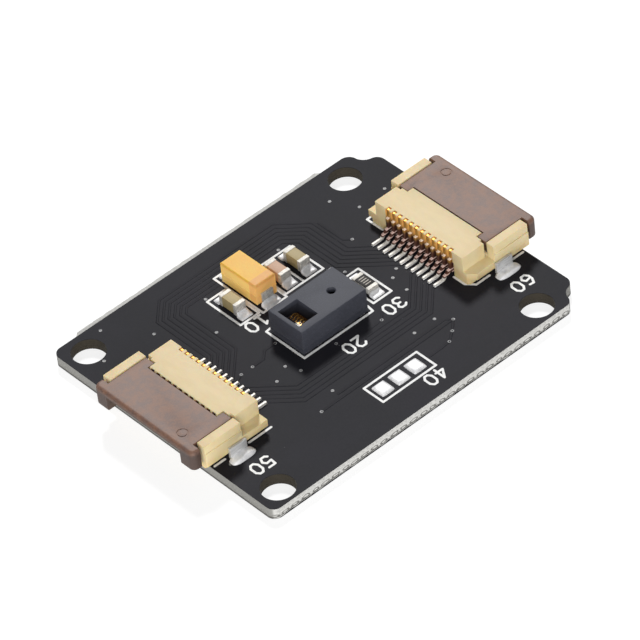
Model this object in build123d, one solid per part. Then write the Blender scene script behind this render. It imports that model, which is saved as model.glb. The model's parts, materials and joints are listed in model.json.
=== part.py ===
"""Distance sensor module: a small circuit board with an optical distance sensor package, two
twelve-way flat cable connectors with slide locks, four capacitors, a resistor and jumper pads.

Millimetres. The origin is the centre of the four mounting holes on the board's underside. +X points
to the end with the right connector, +Y to the long edge that carries the snapped strip, +Z up from
the component side. Heights called w are counted from the component side of the board.
"""
from build123d import *
import math
import os

# ---------------------------------------------------------------- board
BOARD_T = 0.80            # finished board thickness, both masks included
MASK_T = 0.03             # thickness of each solder mask
END_L = -12.05            # left short edge
END_R = 13.38             # right short edge
EDGE_NEAR = -9.88         # near long edge
EDGE_FAR = 10.10          # far long edge where it is routed
STRIP_FAR = 10.42         # outer edge of the strip left by snapping the panel
STRIP_L = -9.85
STRIP_R = 9.55
HOLE_X = 10.475           # half the hole spacing along X
HOLE_Y = 8.54             # half the hole spacing along Y
HOLE_R = 1.10             # clearance for an M2 screw
CORNER_R = 0.60
TOP = BOARD_T             # component side

# ---------------------------------------------------------------- printed legend
INK_T = 0.02
LINE_W = 0.15
DIGIT_H = 0.90
DIGIT_W = 0.55
DIGIT_GAP = 0.28

# ---------------------------------------------------------------- flat cable connectors
WAYS = 12
PITCH = 0.50
BACK_RIGHT = 8.89         # X of the right housing's back face
BACK_LEFT = -7.67         # X of the left housing's back face
HOUSING_H = 2.00
BLOCK_HALF = 3.87         # half width of the raised block
FLANGE_HALF = 4.60        # half width of the whole housing
FLANGE_H = 0.90
FLANGE_LOW = 0.38         # underside of the flange
BASE_HALF = 4.28
BLOCK_FRONT = 2.48        # front face of the block, from the back face
ARM_BACK = 1.97
ARM_FRONT = 4.78
ARM_IN = 3.92
ARM_UPPER = 4.54          # outer face of an arm above its step
ARM_STEP_H = 1.40
RECESS_H = 1.12           # height of the open recess behind the contacts
FLOOR_H = 0.45
SLOT_W = 0.30
NOTCH_IN = 3.03           # inner side of the notch that takes the slider's tab
SLIDER_TOP = 1.95
SLIDER_T = 0.38
SLIDER_BACK = 2.53
SLIDER_FRONT = 5.67
BAR_BACK = 5.03           # back of the slider's grip bar
BAR_HALF = 4.45
SLIDER_HALF = 3.82
BAR_CORNER = 0.38         # rounding of the bar's upright corners
BAR_ROUND = 0.24          # rounding of the bar's upper edge
EAR_ROUND = 0.14
EAR_IN = 3.30
EAR_LOW = 0.50
TONGUE_BACK = 2.05
TRAVEL = 0.90             # how far the slider pulls out
RAIL_FRONT = 3.30         # front of the rail that runs in the arm's groove
RAIL_HALF = 4.02
CONTACT_T = 0.20
TAIL_END = -1.46
TAIL_FRONT = -0.72
TAIL_W = 0.15             # width of a contact's flat tail
TAIL_T = 0.12
PAD_T = 0.03
MARK_SPOT = (4.80, 2.62)  # plain round mould mark on the slider
MARK_R = 0.36

# ---------------------------------------------------------------- sensor package
SENSOR_X = (-1.95, 3.27)
SENSOR_Y = (-1.40, 1.60)
SENSOR_H = 1.85
SENSOR_FOOT = 0.05        # solder height under the package
SUBSTRATE_H = 0.42
CAP_WALL = 0.28
CAP_ROOF = 0.35
WINDOW_X = (-1.65, -0.12)
WINDOW_Y = (-0.85, 1.05)
PINHOLE = (1.78, 0.05)
PINHOLE_R = 0.24
DIE_H = 0.42              # height of the receiver die above the package's base

# ---------------------------------------------------------------- chips: centre X, centre Y
CERAMICS = [(-2.00, 4.95), (1.68, 4.97), (3.25, 4.97)]
TANTALUM = (-0.17, 5.48)
RESISTOR = (4.66, 0.375)
CHIP_L = 1.60             # length of the ceramic capacitors and the resistor, along Y
CHIP_W = 0.80
CERAMIC_H = 0.80
RESISTOR_H = 0.45
CHIP_END = 0.30           # length of an end cap
CHIP_FOOT = 0.03
TANT_L = 3.20
TANT_W = 1.60
TANT_H = 1.65
JUMPER_XS = [-0.70, 0.60, 1.90]
JUMPER_Y = -7.00

VIAS = [
    (-8.8, 9.4), (-6.8, 6.75), (-10.4, 7.2), (-4.15, 4.05), (-2.65, 6.75), (3.3, 6.75), (8.4, 7.7),
    (9.3, 5.95), (11.5, 6.05), (7.0, 4.1), (-5.6, 0.17), (-4.7, 0.17), (-2.4, 0.7), (-3.35, -1.25),
    (-4.55, -1.85), (-2.95, -2.2), (0.05, -2.05), (3.3, -2.55), (4.7, 2.25), (7.0, 0.15),
    (6.3, -0.3), (6.15, -1.7), (-2.85, -4.9), (-4.5, -5.75), (3.85, -4.85), (5.5, -4.85),
    (6.25, -5.7), (5.5, -6.4), (4.75, -6.95), (-11.1, -5.05),
]
VIA_R = 0.11


def block(x, y, z):
    """A box between two corners, each axis given as (low, high)."""
    size = [high - low for low, high in (x, y, z)]
    centre = [(low + high) / 2 for low, high in (x, y, z)]
    return Pos(*centre) * Box(*size)


def both_sides(x, y, z):
    """A box and its mirror image in the XZ plane."""
    low, high = y
    return [block(x, y, z), block(x, (-high, -low), z)]


def joined(pieces):
    """One shape fused from a list."""
    first, *rest = pieces
    return first.fuse(*rest).clean() if rest else first


def write(shape, node):
    """Write one node's solids to its STEP file."""
    shape.label = node
    export_step(shape, f"parts/{node}.step")


# ================================================================ board and print

def board_outline(far):
    """The board's outline as a face: rounded left corners, notched right corners."""
    notch = [(END_R, 8.15), (12.95, 8.74), (12.22, 9.42), (11.55, EDGE_FAR)]
    bulge = [(13.25, 8.52), (12.48, 8.97), (12.02, 9.90)]
    near = [(x, -y) for x, y in notch[:3]] + [(11.62, EDGE_NEAR)]
    near_bulge = [(x, -y) for x, y in bulge[:2]] + [(12.02, -9.75)]
    edges = [Line((END_R, near[0][1]), notch[0])]
    for i in range(3):
        edges.append(ThreePointArc(notch[i], bulge[i], notch[i + 1]))
        edges.append(ThreePointArc(near[i], near_bulge[i], near[i + 1]))
    turn = CORNER_R * (1 - math.sqrt(0.5))
    if far > EDGE_FAR:
        step = far - EDGE_FAR
        run = [(11.55, EDGE_FAR), (STRIP_R + step, EDGE_FAR), (STRIP_R, far)]
        run += [(STRIP_L, far), (STRIP_L - step, EDGE_FAR), (END_L + CORNER_R, EDGE_FAR)]
        edges.append(Polyline(*run))
    else:
        edges.append(Line((11.55, EDGE_FAR), (END_L + CORNER_R, EDGE_FAR)))
    edges.append(ThreePointArc((END_L + CORNER_R, EDGE_FAR), (END_L + turn, EDGE_FAR - turn),
                               (END_L, EDGE_FAR - CORNER_R)))
    edges.append(Line((END_L, EDGE_FAR - CORNER_R), (END_L, EDGE_NEAR + CORNER_R)))
    edges.append(ThreePointArc((END_L, EDGE_NEAR + CORNER_R), (END_L + turn, EDGE_NEAR + turn),
                               (END_L + CORNER_R, EDGE_NEAR)))
    edges.append(Line((END_L + CORNER_R, EDGE_NEAR), (11.62, EDGE_NEAR)))
    return make_face(Curve() + edges)


def board_layer(far, low, high):
    """A layer of the board with the four mounting holes through it."""
    layer = extrude(board_outline(far), high - low)
    layer = Pos(0, 0, low) * layer
    for x in (-HOLE_X, HOLE_X):
        for y in (-HOLE_Y, HOLE_Y):
            layer -= Pos(x, y, BOARD_T / 2) * Cylinder(HOLE_R, 2 * BOARD_T)
    return layer


def stroke(points):
    """Ink along a chain of points, with round ends."""
    ink = []
    for (x0, y0), (x1, y1) in zip(points, points[1:]):
        length = math.hypot(x1 - x0, y1 - y0)
        angle = math.degrees(math.atan2(y1 - y0, x1 - x0))
        line = SlotCenterToCenter(length, LINE_W)
        ink.append(Pos((x0 + x1) / 2, (y0 + y1) / 2) * Rot(0, 0, angle) * line)
    return ink


def frame_lines(x, y):
    """A closed rectangle of ink."""
    return stroke([(x[0], y[0]), (x[1], y[0]), (x[1], y[1]), (x[0], y[1]), (x[0], y[0])])


DIGITS = {
    "0": [[(0.3, 0), (0.7, 0), (1, 0.25), (1, 0.75), (0.7, 1), (0.3, 1), (0, 0.75), (0, 0.25), (0.3, 0)]],
    "1": [[(0.15, 0.8), (0.5, 1), (0.5, 0)], [(0.1, 0), (0.9, 0)]],
    "2": [[(0, 0.8), (0.25, 1), (0.75, 1), (1, 0.8), (1, 0.6), (0, 0), (1, 0)]],
    "3": [[(0, 0.85), (0.25, 1), (0.75, 1), (1, 0.8), (0.75, 0.53), (1, 0.25), (0.75, 0), (0.25, 0),
           (0, 0.15)], [(0.75, 0.53), (0.4, 0.53)]],
    "4": [[(0.75, 0), (0.75, 1), (0, 0.3), (1, 0.3)]],
    "5": [[(0.95, 1), (0.1, 1), (0.05, 0.55), (0.7, 0.6), (1, 0.35), (0.75, 0), (0.25, 0), (0, 0.15)]],
    "6": [[(0.85, 0.95), (0.35, 1), (0, 0.6), (0, 0.25), (0.25, 0), (0.75, 0), (1, 0.25), (0.75, 0.52),
           (0.05, 0.45)]],
}
POSITION_MARKS = [
    ("10", -2.0, 2.80), ("20", 0.70, -2.95), ("30", 4.65, -2.20), ("40", 2.15, -8.55),
    ("50", -9.90, -6.50), ("60", 11.25, -6.50),
]


def position_mark(text, x, y):
    """A plain two-digit position number, turned to be read from the far side of the board."""
    width = len(text) * DIGIT_W + (len(text) - 1) * DIGIT_GAP
    ink = []
    for place, digit in enumerate(text):
        left = place * (DIGIT_W + DIGIT_GAP) - width / 2
        for chain in DIGITS[digit]:
            points = [(x - left - px * DIGIT_W, y + DIGIT_H / 2 - py * DIGIT_H) for px, py in chain]
            ink += stroke(points)
    return ink


def legend_print():
    """All white ink on the component side: part outlines and position numbers."""
    ink = stroke([(-1.72, 1.90), (-2.08, 1.86), (-2.08, -1.57), (3.48, -1.57), (3.56, -1.02)])
    ink += stroke([(3.95, 3.10), (4.35, 3.12)])
    ink += frame_lines((-2.75, -1.27), (3.43, 6.50))
    ink += frame_lines((-1.10, 0.83), (3.24, 7.75))
    ink += frame_lines((0.98, 4.02), (3.45, 6.50))
    ink += stroke([(2.46, 3.45), (2.46, 6.50)])
    ink += frame_lines((3.97, 5.45), (-1.10, 1.87))
    ink += frame_lines((-1.47, 2.80), (-7.85, -6.15))
    ink += stroke([(9.30, 4.76), (8.84, 4.76), (8.84, 3.35)])
    ink += stroke([(8.84, -3.00), (8.84, -3.95), (9.30, -4.50), (10.40, -4.50)])
    ink += stroke([(12.35, -4.50), (13.20, -4.50)])
    ink += stroke([(-11.85, -4.50), (-11.05, -4.50)])
    ink += stroke([(-9.15, -4.50), (-7.40, -4.50)])
    for text, x, y in POSITION_MARKS:
        ink += position_mark(text, x, y)
    sketch = ink[0]
    for line in ink[1:]:
        sketch += line
    return Pos(0, 0, TOP) * extrude(sketch, INK_T)


def via_pads():
    """The tinned ring of each through-hole via."""
    return Compound([Pos(x, y, TOP + INK_T / 2) * Cylinder(VIA_R, INK_T) for x, y in VIAS])


# ================================================================ connector, in its own frame
# u along X outwards from the housing's back face, v along Y, w up from the board.

def ways():
    """The v position of each contact."""
    return [(i - (WAYS - 1) / 2) * PITCH for i in range(WAYS)]


def housing():
    """Ivory housing: contact block, flange, two guide arms and the floor of the cable slot."""
    base = block((0, 4.70), (-BASE_HALF, BASE_HALF), (0.05, FLOOR_H))
    flange = block((0, ARM_FRONT), (-FLANGE_HALF, FLANGE_HALF), (FLANGE_LOW, FLANGE_H))
    raised = block((0, BLOCK_FRONT), (-BLOCK_HALF, BLOCK_HALF), (0.05, HOUSING_H))
    arms = both_sides((ARM_BACK, ARM_FRONT), (ARM_IN, FLANGE_HALF), (FLOOR_H, HOUSING_H))
    front_edge = raised.edges().filter_by(Axis.Y).group_by(Axis.X)[-1].sort_by(Axis.Z)[-1]
    raised = chamfer(front_edge, 0.18, 0.08, reference=raised.faces().sort_by(Axis.X)[-1])
    body = joined([base, flange, raised] + arms)
    body -= block((BLOCK_FRONT, 9), (-ARM_IN, ARM_IN), (FLOOR_H, 9))
    body -= block((-1, 0.40), (-3.02, 3.02), (0.04, RECESS_H))
    for step in both_sides((ARM_BACK - 0.1, 9), (ARM_UPPER, 9), (ARM_STEP_H, 9)):
        body -= step
    for slit in both_sides((1.80, ARM_BACK), (3.50, 9), (FLANGE_H, 9)):
        body -= slit
    for notch in both_sides((1.95, 9), (NOTCH_IN, ARM_IN), (1.05, 9)):
        body -= notch
    body -= block((1.60, 9), (-3.30, 3.30), (FLOOR_H, 1.42))
    for v in ways():
        half = SLOT_W / 2
        body -= block((-1, 0.28), (v - half, v + half), (-1, 9))
        body -= block((0, 3.60), (v - half, v + half), (0.22, 1.42))
        body -= block((BLOCK_FRONT - 0.16, 9), (v - half, v + half), (1.0, 1.96))
    for pocket in both_sides((2.10, 2.90), (4.24, 9), (0.50, 0.74)):
        body -= pocket
    for groove in both_sides((2.50, RAIL_FRONT + TRAVEL + 0.08), (0, RAIL_HALF + 0.07), (0.87, 1.23)):
        body -= groove
    cut = FLANGE_HALF - 0.45
    corner = Polyline((-1, -cut + 1), (-1, -cut - 2), (2, -cut - 2), close=True)
    body -= Pos(0, 0, -1) * extrude(make_face(corner), 5)
    return body


def contact(v):
    """One bent contact: tail, stepped riser, post with its upper arm, and the spring beam."""
    outline = Polyline(
        (TAIL_FRONT, PAD_T), (-0.60, PAD_T), (-0.46, 0.22), (-0.02, 0.40), (0.02, 0.25), (3.30, 0.25),
        (3.30, 0.50), (3.15, 0.58), (3.00, 0.50), (2.80, 0.41), (0.20, 0.41), (0.20, 1.18),
        (1.20, 1.18), (1.20, 1.34), (0.20, 1.34), (0.20, 1.94), (0.02, 1.94), (0.02, 1.46),
        (-0.01, 1.34), (-0.14, 1.34), (-0.14, 0.58), (-0.28, 0.55), (-0.48, 0.34), (-0.62, 0.32),
        (TAIL_FRONT, PAD_T + TAIL_T), close=True)
    body = extrude(Plane.XZ * make_face(outline), CONTACT_T)
    tail = block((TAIL_END, TAIL_FRONT + 0.02), (-TAIL_W / 2, TAIL_W / 2), (PAD_T, PAD_T + TAIL_T))
    return Pos(0, v, 0) * joined([Pos(0, CONTACT_T / 2, 0) * body, tail])


def contacts():
    """All twelve contacts of one connector."""
    return [contact(v) for v in ways()]


def slider():
    """Brown slide lock: top plate, grip bar with two ears, side legs, tabs and the wedge."""
    plate_low = SLIDER_TOP - SLIDER_T
    bar = block((BAR_BACK, SLIDER_FRONT), (-BAR_HALF, BAR_HALF), (EAR_LOW, SLIDER_TOP))
    bar = fillet(bar.edges().filter_by(Axis.Z).group_by(Axis.X)[-1], BAR_CORNER)
    front_rim = bar.faces().sort_by(Axis.Z)[-1].edges() - bar.edges().group_by(Axis.X)[0]
    bar = fillet(front_rim, BAR_ROUND)
    bar = fillet(bar.faces().sort_by(Axis.Z)[0].edges() - bar.edges().group_by(Axis.X)[0], EAR_ROUND)
    bar -= block((0, 9), (-EAR_IN, EAR_IN), (0, plate_low))
    plate = block((SLIDER_BACK, BAR_BACK + 0.1), (-SLIDER_HALF, SLIDER_HALF), (plate_low, SLIDER_TOP))
    legs = both_sides((2.56, BAR_BACK + 0.1), (3.36, SLIDER_HALF), (0.55, SLIDER_TOP))
    rails = both_sides((2.62, RAIL_FRONT), (SLIDER_HALF - 0.1, RAIL_HALF), (0.95, 1.15))
    tabs = both_sides((2.03, SLIDER_BACK + 0.1), (3.10, SLIDER_HALF), (1.14, SLIDER_TOP))
    web = block((SLIDER_BACK, 3.60), (-3.20, 3.20), (0.98, plate_low + 0.1))
    tongue = block((TONGUE_BACK, SLIDER_BACK + 0.1), (-3.20, 3.20), (0.98, 1.34))
    tip = tongue.edges().filter_by(Axis.Y).group_by(Axis.X)[0].sort_by(Axis.Z)[0]
    tongue = chamfer(tip, 0.14)
    body = joined([plate, bar, web, tongue] + legs + rails + tabs)
    mark = Cylinder(MARK_R, 0.06) - Cylinder(MARK_R - 0.07, 0.06)
    return body - Pos(*MARK_SPOT, SLIDER_TOP) * mark


def hold_downs():
    """The two sheet-metal hold-downs: a plate beside the flange with a tongue in its pocket."""
    pieces = []
    for side in (-1, 1):
        plate = block((1.86, 3.16), (4.63, 4.83), (0.02, 0.82))
        tongue = block((2.14, 2.86), (4.28, 4.64), (0.54, 0.70))
        foot = block((1.86, 3.16), (4.82, 5.16), (0.02, 0.17))
        clip = joined([plate, tongue, foot])
        bend = clip.edges().filter_by(Axis.X).filter_by(
            lambda e: abs(e.center().Y - 4.83) < 0.01 and e.center().Z > 0.3)
        clip = fillet(bend, 0.08)
        pieces.append(clip if side > 0 else clip.mirror(Plane.XZ))
    return pieces


def contact_solder():
    """The tinned pad under each contact's tail."""
    pads = []
    for v in ways():
        pad = block((TAIL_END - 0.05, -0.60), (v - TAIL_W / 2 - 0.02, v + TAIL_W / 2 + 0.02), (0, PAD_T))
        pads.append(pad)
    return pads


def solder_puddle(x, y, height, inset):
    """Solder that tapers up from its pad."""
    low = Pos((x[0] + x[1]) / 2, (y[0] + y[1]) / 2, 0) * Rectangle(x[1] - x[0], y[1] - y[0])
    low = fillet(low.vertices(), 0.12)
    high = offset(low, -inset)
    return loft([low, Pos(0, 0, height) * high])


def hold_down_solder():
    """The solder puddle round the foot of each hold-down."""
    clips = hold_downs()
    puddles = []
    for side, clip in zip((-1, 1), clips):
        puddle = solder_puddle((1.74, 3.26), (4.70, 5.46), 0.16, 0.10)
        puddle = puddle if side > 0 else puddle.mirror(Plane.XZ)
        puddles.append(puddle - clip)
    return puddles


def place(pieces, end):
    """Move connector pieces from their own frame to the right or left end of the board."""
    if end == "right":
        spot = Pos(BACK_RIGHT, 0, TOP)
    else:
        spot = Pos(BACK_LEFT, 0, TOP) * Rot(0, 0, 180)
    return [spot * piece for piece in pieces]


# ================================================================ sensor package

def sensor_cap():
    """Moulded cap: roof with the square window and the pinhole, walls and the light barrier."""
    low = TOP + SENSOR_FOOT + SUBSTRATE_H
    high = TOP + SENSOR_H
    cap = block(SENSOR_X, SENSOR_Y, (low, high))
    top_rim = cap.faces().sort_by(Axis.Z)[-1].edges()
    cap = chamfer(top_rim, 0.03)
    inner_y = (SENSOR_Y[0] + CAP_WALL, SENSOR_Y[1] - CAP_WALL)
    receiver = (SENSOR_X[0] + CAP_WALL, WINDOW_X[1] + 0.12)
    emitter = (WINDOW_X[1] + 0.52, SENSOR_X[1] - CAP_WALL)
    for room in (receiver, emitter):
        cap -= block(room, inner_y, (low - 1, high - CAP_ROOF))
    cap -= block(WINDOW_X, WINDOW_Y, (low - 1, high + 1))
    cap -= Pos(*PINHOLE, high) * Cylinder(PINHOLE_R, 2)
    sink = Pos(*PINHOLE, high) * Cone(PINHOLE_R, PINHOLE_R + 0.14, 0.14)
    return cap - sink


def sensor_pieces():
    """The sensor's pieces by node name."""
    foot = TOP + SENSOR_FOOT
    floor = foot + SUBSTRATE_H
    lands = []
    for i in range(6):
        x = SENSOR_X[0] + 0.45 + i * (SENSOR_X[1] - SENSOR_X[0] - 0.90) / 5
        for y in (SENSOR_Y[0] + 0.30, SENSOR_Y[1] - 0.30):
            lands.append(block((x - 0.22, x + 0.22), (y - 0.25, y + 0.25), (TOP, foot)))
    die_top = floor + DIE_H
    receiver = block((-1.60, -0.66), (-0.75, 1.12), (floor, die_top))
    emitter = block((1.63, 1.93), (-0.10, 0.20), (floor, floor + 0.15))
    wires = []
    gold = []
    for i in range(6):
        y = -0.30 + i * 0.24
        gold.append(block((-0.50, -0.24), (y - 0.07, y + 0.07), (floor, floor + 0.02)))
        gold.append(block((-0.92, -0.74), (y - 0.07, y + 0.07), (die_top, die_top + 0.02)))
        arc = ThreePointArc((-0.83, y, die_top + 0.02), (-0.60, y, die_top + 0.14), (-0.37, y, floor + 0.02))
        wires.append(sweep(arc.location_at(0) * Circle(0.022), path=arc))
    return {
        "sensor_cap": [sensor_cap()],
        "sensor_substrate": [block(SENSOR_X, SENSOR_Y, (foot, floor))],
        "sensor_receiver_die": [receiver],
        "sensor_emitter_die": [emitter],
        "sensor_bond_wires": wires,
        "sensor_gold_lands": gold,
        "sensor_solder_lands": lands,
    }


# ================================================================ chips

def ceramic_pieces(number, x, y):
    """A ceramic capacitor: body and two end caps."""
    low = TOP + CHIP_FOOT
    half = CHIP_L / 2
    wide = CHIP_W / 2
    inner = 0.02
    body = block((x - wide + inner, x + wide - inner), (y - half + inner, y + half - inner),
                 (low + inner, low + CERAMIC_H - inner))
    ends = []
    for side in (-1, 1):
        span = sorted((y + side * half, y + side * (half - CHIP_END)))
        end = block((x - wide, x + wide), span, (low, low + CERAMIC_H))
        outer = end.faces().sort_by(Axis.Y)[-1 if side > 0 else 0]
        end = fillet(outer.edges(), 0.06)
        ends.append(end - body)
    return {
        f"ceramic_capacitor_{number}_body": [body],
        f"ceramic_capacitor_{number}_ends": ends,
    }


def resistor_pieces():
    """The chip resistor: alumina base, dark overcoat and two end caps."""
    x, y = RESISTOR
    low = TOP + CHIP_FOOT
    half = CHIP_L / 2
    wide = CHIP_W / 2
    skin = 0.02
    base = block((x - wide, x + wide), (y - half + skin, y + half - skin), (low + skin, low + 0.40))
    coat = block((x - wide + 0.02, x + wide - 0.02), (y - half + CHIP_END, y + half - CHIP_END),
                 (low + 0.40, low + RESISTOR_H))
    coat = fillet(coat.edges().filter_by(Axis.Z), 0.05)
    ends = []
    for side in (-1, 1):
        span = sorted((y + side * half, y + side * (half - CHIP_END + 0.02)))
        end = block((x - wide + 0.01, x + wide - 0.01), span, (low, low + 0.43))
        outer = end.faces().sort_by(Axis.Y)[-1 if side > 0 else 0]
        end = fillet(outer.edges(), 0.03)
        ends.append(end - base)
    return {"resistor_base": [base], "resistor_overcoat": [coat], "resistor_ends": ends}


def tantalum_pieces():
    """The tantalum capacitor: moulded body, terminal strips, pellet and its wire."""
    x, y = TANTALUM
    low = TOP + CHIP_FOOT
    half = TANT_L / 2
    wide = TANT_W / 2
    seam = low + 0.78
    upper = block((x - wide, x + wide), (y - half, y + half), (seam, low + TANT_H))
    lower = block((x - wide, x + wide), (y - half, y + half), (low + 0.12, seam))
    upper = chamfer(upper.faces().sort_by(Axis.Z)[-1].edges(), 0.06)
    ridge = block((x - wide - 0.02, x + wide + 0.02), (y - half - 0.02, y + half + 0.02),
                  (seam - 0.03, seam + 0.03))
    body = joined([upper, lower, ridge])
    pellet = block((x - 0.50, x + 0.50), (y - 0.75, y + 0.90), (low + 0.35, low + 1.25))
    wire = Pos(x, y - 0.95, low + 0.80) * Rot(90, 0, 0) * Cylinder(0.06, 0.40)
    strips = {}
    for name, side in (("anode", -1), ("cathode", 1)):
        reach = half - 0.30 if side < 0 else half - 0.45
        lead = block((x - 0.45, x + 0.45), sorted((y + side * reach, y + side * (half + 0.10))),
                     (seam - 0.05, seam + 0.05))
        drop = block((x - 0.45, x + 0.45), sorted((y + side * (half + 0.02), y + side * (half + 0.12))),
                     (low, seam + 0.05))
        under = block((x - 0.45, x + 0.45), sorted((y + side * (half - 0.70), y + side * (half + 0.12))),
                      (low, low + 0.10))
        strips[name] = joined([lead, drop, under])
    body = body - strips["anode"] - strips["cathode"] - pellet - wire
    return {
        "tantalum_body": [body],
        "tantalum_pellet": [pellet],
        "tantalum_anode_wire": [wire],
        "tantalum_anode_terminal": [strips["anode"]],
        "tantalum_cathode_terminal": [strips["cathode"]],
    }


def chip_solder(x, y, half_length, half_width, height):
    """The two solder fillets of a chip, each sloping down from its end to the pad's edge."""
    fillets = []
    for side in (-1, 1):
        face = y + side * half_length
        profile = Polyline((face, 0), (face + side * 0.50, 0), (face + side * 0.42, 0.06),
                           (face + side * 0.12, height * 0.55), (face, height), close=True)
        wedge = extrude(Plane.YZ * make_face(profile), half_width, both=True)
        fillets.append(Pos(x, 0, TOP) * wedge)
    return fillets


def jumper_pads():
    """Three jumper pads with domed solder."""
    domes = []
    for x in JUMPER_XS:
        pad = solder_puddle((x - 0.50, x + 0.50), (JUMPER_Y - 0.55, JUMPER_Y + 0.55), 0.14, 0.14)
        domes.append(Pos(0, 0, TOP) * pad)
    return domes


# ================================================================ every node

def nodes():
    """Every node's solids by node name."""
    laminate = board_layer(STRIP_FAR, MASK_T, BOARD_T - MASK_T)
    parts = {
        "board_laminate": [laminate],
        "solder_mask_top": [board_layer(EDGE_FAR, BOARD_T - MASK_T, BOARD_T)],
        "solder_mask_bottom": [board_layer(EDGE_FAR, 0, MASK_T)],
        "legend_print": [legend_print()],
        "via_pads": [via_pads()],
        "jumper_pads": jumper_pads(),
    }
    for end in ("right", "left"):
        parts[f"{end}_connector_housing"] = place([housing()], end)
        parts[f"{end}_connector_slider"] = place([slider()], end)
        parts[f"{end}_connector_contacts"] = place(contacts(), end)
        parts[f"{end}_connector_hold_downs"] = place(hold_downs(), end)
        parts[f"{end}_connector_contact_solder"] = place(contact_solder(), end)
        parts[f"{end}_connector_hold_down_solder"] = place(hold_down_solder(), end)
    parts.update(sensor_pieces())
    for number, (x, y) in enumerate(CERAMICS, start=1):
        parts.update(ceramic_pieces(number, x, y))
        parts[f"ceramic_capacitor_{number}_solder"] = chip_solder(x, y, CHIP_L / 2, 0.42, 0.45)
    parts.update(resistor_pieces())
    parts["resistor_solder"] = chip_solder(*RESISTOR, CHIP_L / 2, 0.42, 0.30)
    parts.update(tantalum_pieces())
    parts["tantalum_solder"] = chip_solder(*TANTALUM, TANT_L / 2 + 0.12, 0.60, 0.40)
    return parts


os.makedirs("parts", exist_ok=True)
for node, solids in nodes().items():
    write(solids[0] if len(solids) == 1 else Compound(solids), node)
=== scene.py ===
# %% [markdown]
# # Distance sensor module
# A small black circuit board carries an optical distance sensor, a few chip parts and two flat
# cable connectors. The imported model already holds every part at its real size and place, in metres.
# This lesson loads it as a fixed frame, builds the camera and the lights, and then gives each piece
# its finished surface: softened mouldings, poured solder, rough snapped edges and printed ink.

# %% Load the frame
import json
import math
import bmesh
import bpy
from mathutils import Matrix, Vector, noise

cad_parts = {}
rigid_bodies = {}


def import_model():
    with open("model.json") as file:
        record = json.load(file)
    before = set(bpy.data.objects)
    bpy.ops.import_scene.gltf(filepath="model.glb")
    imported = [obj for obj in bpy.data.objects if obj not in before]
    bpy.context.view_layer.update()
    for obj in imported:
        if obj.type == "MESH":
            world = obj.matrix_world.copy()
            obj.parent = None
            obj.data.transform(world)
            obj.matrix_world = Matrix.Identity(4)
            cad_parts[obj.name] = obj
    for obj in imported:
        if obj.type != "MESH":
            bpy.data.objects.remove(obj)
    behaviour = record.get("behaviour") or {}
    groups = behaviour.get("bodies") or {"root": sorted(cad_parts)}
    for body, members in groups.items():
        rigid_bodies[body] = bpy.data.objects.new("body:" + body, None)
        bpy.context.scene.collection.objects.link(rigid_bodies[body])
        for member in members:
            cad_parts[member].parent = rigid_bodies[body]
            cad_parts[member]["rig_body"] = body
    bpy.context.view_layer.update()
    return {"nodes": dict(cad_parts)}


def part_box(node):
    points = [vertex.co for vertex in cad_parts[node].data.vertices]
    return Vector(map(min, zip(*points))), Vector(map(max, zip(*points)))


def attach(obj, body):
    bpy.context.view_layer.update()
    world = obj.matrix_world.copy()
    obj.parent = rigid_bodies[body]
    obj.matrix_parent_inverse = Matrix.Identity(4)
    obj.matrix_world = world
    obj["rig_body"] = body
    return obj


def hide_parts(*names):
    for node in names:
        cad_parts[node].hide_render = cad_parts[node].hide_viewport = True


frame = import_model()
MM = 0.001
nodes = frame["nodes"]

# %% [markdown]
# ## Camera
# A long lens keeps the board's edges nearly parallel, as on a product shot. The camera looks down at
# a little over forty degrees from the near left corner, turned slightly about its own axis.

# %% Camera
BOARD_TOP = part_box("solder_mask_top")[1].z
LENS = 307.04
SENSOR_WIDTH = 36.0
LENS_SHIFT = (0.0012, 0.0027)
TARGET = Vector((0.6655 * MM, 0.1417 * MM, BOARD_TOP))
DISTANCE = 327.703 * MM
AZIMUTH = math.radians(-37.521)
ELEVATION = math.radians(42.608)
ROLL = math.radians(-7.019)

camera_data = bpy.data.cameras.new("camera")
camera_data.lens = LENS
camera_data.sensor_width = SENSOR_WIDTH
camera_data.shift_x, camera_data.shift_y = LENS_SHIFT
camera = bpy.data.objects.new("camera", camera_data)
scene = bpy.context.scene
scene.collection.objects.link(camera)
scene.camera = camera
back = Vector((math.sin(AZIMUTH) * math.cos(ELEVATION),
               -math.cos(AZIMUTH) * math.cos(ELEVATION), math.sin(ELEVATION)))
right = Vector((math.cos(AZIMUTH), math.sin(AZIMUTH), 0))
up = back.cross(right)
turned_right = right * math.cos(ROLL) + up * math.sin(ROLL)
turned_up = up * math.cos(ROLL) - right * math.sin(ROLL)
rotation = Matrix((turned_right, turned_up, back)).transposed()
camera.matrix_world = Matrix.Translation(TARGET + back * DISTANCE) @ rotation.to_4x4()
print("camera at mm", [round(v / MM, 1) for v in camera.matrix_world.translation])

# %% [markdown]
# ## Light and floor
# The module lies on a light table. One soft key lamp stands behind it and throws the short shadows
# towards the camera, a wide fill lamp low beside the camera opens the near faces, and the pale floor
# glows a little, as a lit table top does, so that the shadow on it stays faint. Seen from below the
# floor is clear, so that the underside of the board can be looked at.

# %% Lights
KEY_DIRECTION = Vector((0.446, 0.561, 0.695))
FILL_DIRECTION = Vector((-0.62, -0.70, 0.34))
LAMP_DISTANCE = 0.45
KEY_SIZE = 0.07
KEY_POWER = 1.60
FILL_SIZE = 0.30
FILL_POWER = 1.50
SKY_STRENGTH = 0.22
FLOOR_SIZE = 2.0
FLOOR_DROP = 0.01 * MM
FLOOR_GLOW = 0.80


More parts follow.
